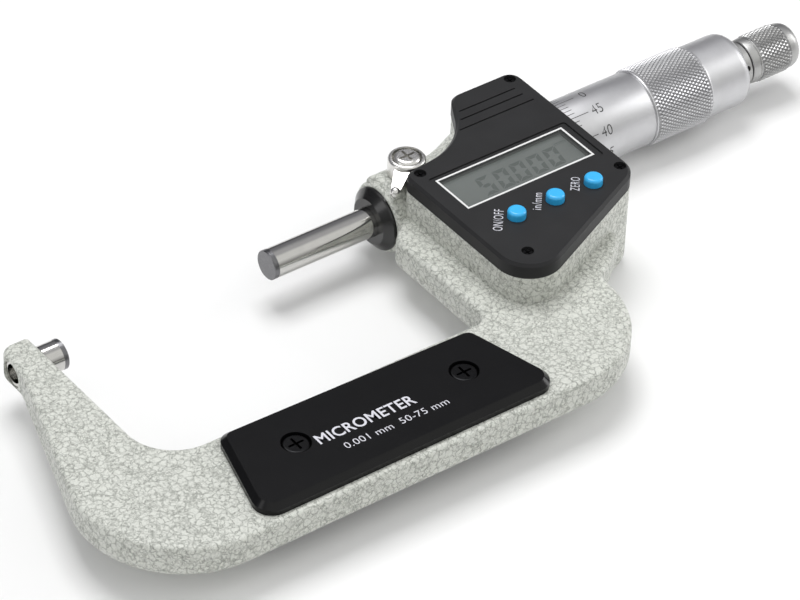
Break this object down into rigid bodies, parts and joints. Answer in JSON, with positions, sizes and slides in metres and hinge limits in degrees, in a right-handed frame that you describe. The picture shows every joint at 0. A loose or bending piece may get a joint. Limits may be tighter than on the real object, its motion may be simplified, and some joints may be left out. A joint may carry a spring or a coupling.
{
  "type": "outside micrometer",
  "caption": "Digital outside micrometer with a C-shaped frame, display housing, push buttons, lock lever, turning thimble, screw-driven spindle and ratchet stop.",
  "frame": {"origin": "centre of the anvil's measuring face", "axes": "+X along the spindle from the anvil to the ratchet, +Z out of the display side, +Y from the back of the C-frame towards the spindle"},
  "size_m": [0.2142, 0.0803, 0.0252],
  "materials": {
    "frame_paint": "crackle paint",
    "ground_steel": "ground",
    "carbide": "lapped",
    "collar_black": "satin",
    "satin_chrome": "satin",
    "knob_chrome": "satin",
    "lock_chrome": "polished",
    "brass": "machined",
    "spring_steel": "bright",
    "cover_black": "satin",
    "gasket_rubber": "matt",
    "window_clear": "clear",
    "display_glass": "smooth",
    "holder_plastic": "matt",
    "board_green": "satin",
    "chip_black": "matt",
    "pad_rubber": "matt",
    "button_blue": "gloss",
    "screw_black": "black oxide",
    "grip_black": "satin gloss",
    "cell_steel": "bright",
    "cap_black": "satin"
  },
  "bodies": {
    "frame": {"frame": "frame_paint", "anvil": "ground_steel", "anvil_tip": "carbide", "spindle_collar": "collar_black", "sleeve": "satin_chrome", "spindle_nut": "brass", "adjusting_nut": "brass", "encoder_stator": "board_green", "rotor_spring": "spring_steel", "lock_pin": "brass", "display_cover": "cover_black", "cover_gasket": "gasket_rubber", "cover_screws": "screw_black", "display_window": "window_clear", "lcd_module": "display_glass", "lcd_frame": "holder_plastic", "conductive_strip": "pad_rubber", "circuit_board": "board_green", "controller_chip": "chip_black", "button_pad": "pad_rubber", "battery": "cell_steel", "battery_contact": "spring_steel", "battery_seal": "gasket_rubber", "front_grip_plate": "grip_black", "rear_grip_plate": "grip_black", "front_grip_screws": "screw_black", "rear_grip_screws": "screw_black"},
    "encoder": {"encoder_rotor": "brass"},
    "spindle": {"spindle": "ground_steel", "spindle_tip": "carbide", "thimble": "satin_chrome", "ratchet_screw": "knob_chrome", "ratchet_spring": "spring_steel", "knob_screw": "knob_chrome"},
    "ratchet_knob": {"ratchet_knob": "knob_chrome"},
    "ratchet_clutch": {"ratchet_clutch": "ground_steel"},
    "lock": {"lock_lever": "lock_chrome", "lock_screw": "lock_chrome"},
    "button_on_off": {"button_on_off": "button_blue"},
    "button_in_mm": {"button_in_mm": "button_blue"},
    "button_zero": {"button_zero": "button_blue"},
    "battery_cap": {"battery_cap": "cap_black"}
  },
  "joints": [
    {"name": "thimble_turn", "type": "hinge", "parent": "frame", "child": "encoder", "pos_m": [0, 0, 0], "axis": [1, 0, 0], "range_deg": [0, 18000]},
    {"name": "spindle_travel", "type": "slide", "parent": "encoder", "child": "spindle", "axis": [1, 0, 0], "range_m": [0, 0.025]},
    {"name": "ratchet_turn", "type": "hinge", "parent": "spindle", "child": "ratchet_knob", "pos_m": [0.18, 0, 0], "axis": [1, 0, 0], "continuous": true},
    {"name": "clutch_slide", "type": "slide", "parent": "spindle", "child": "ratchet_clutch", "axis": [-1, 0, 0], "range_m": [0, 0.0005], "stiffness_N_per_m": 2500, "springref_m": -0.001},
    {"name": "lock_turn", "type": "hinge", "parent": "frame", "child": "lock", "pos_m": [0.0851, 0, 0.011], "axis": [0, 0, 1], "range_deg": [-60, 0]},
    {"name": "press_on_off", "type": "slide", "parent": "frame", "child": "button_on_off", "axis": [0, 0, -1], "range_m": [0, 0.0005], "stiffness_N_per_m": 900, "springref_m": -0.0005},
    {"name": "press_in_mm", "type": "slide", "parent": "frame", "child": "button_in_mm", "axis": [0, 0, -1], "range_m": [0, 0.0005], "stiffness_N_per_m": 900, "springref_m": -0.0005},
    {"name": "press_zero", "type": "slide", "parent": "frame", "child": "button_zero", "axis": [0, 0, -1], "range_m": [0, 0.0005], "stiffness_N_per_m": 900, "springref_m": -0.0005},
    {"name": "battery_cap_turn", "type": "hinge", "parent": "frame", "child": "battery_cap", "pos_m": [0.099, -0.026, -0.0094], "axis": [0, 0, -1], "range_deg": [0, 60]}
  ],
  "couplings": [
    {"joint": "thimble_turn", "follows": "spindle_travel", "rad_per_m": 12566}
  ]
}
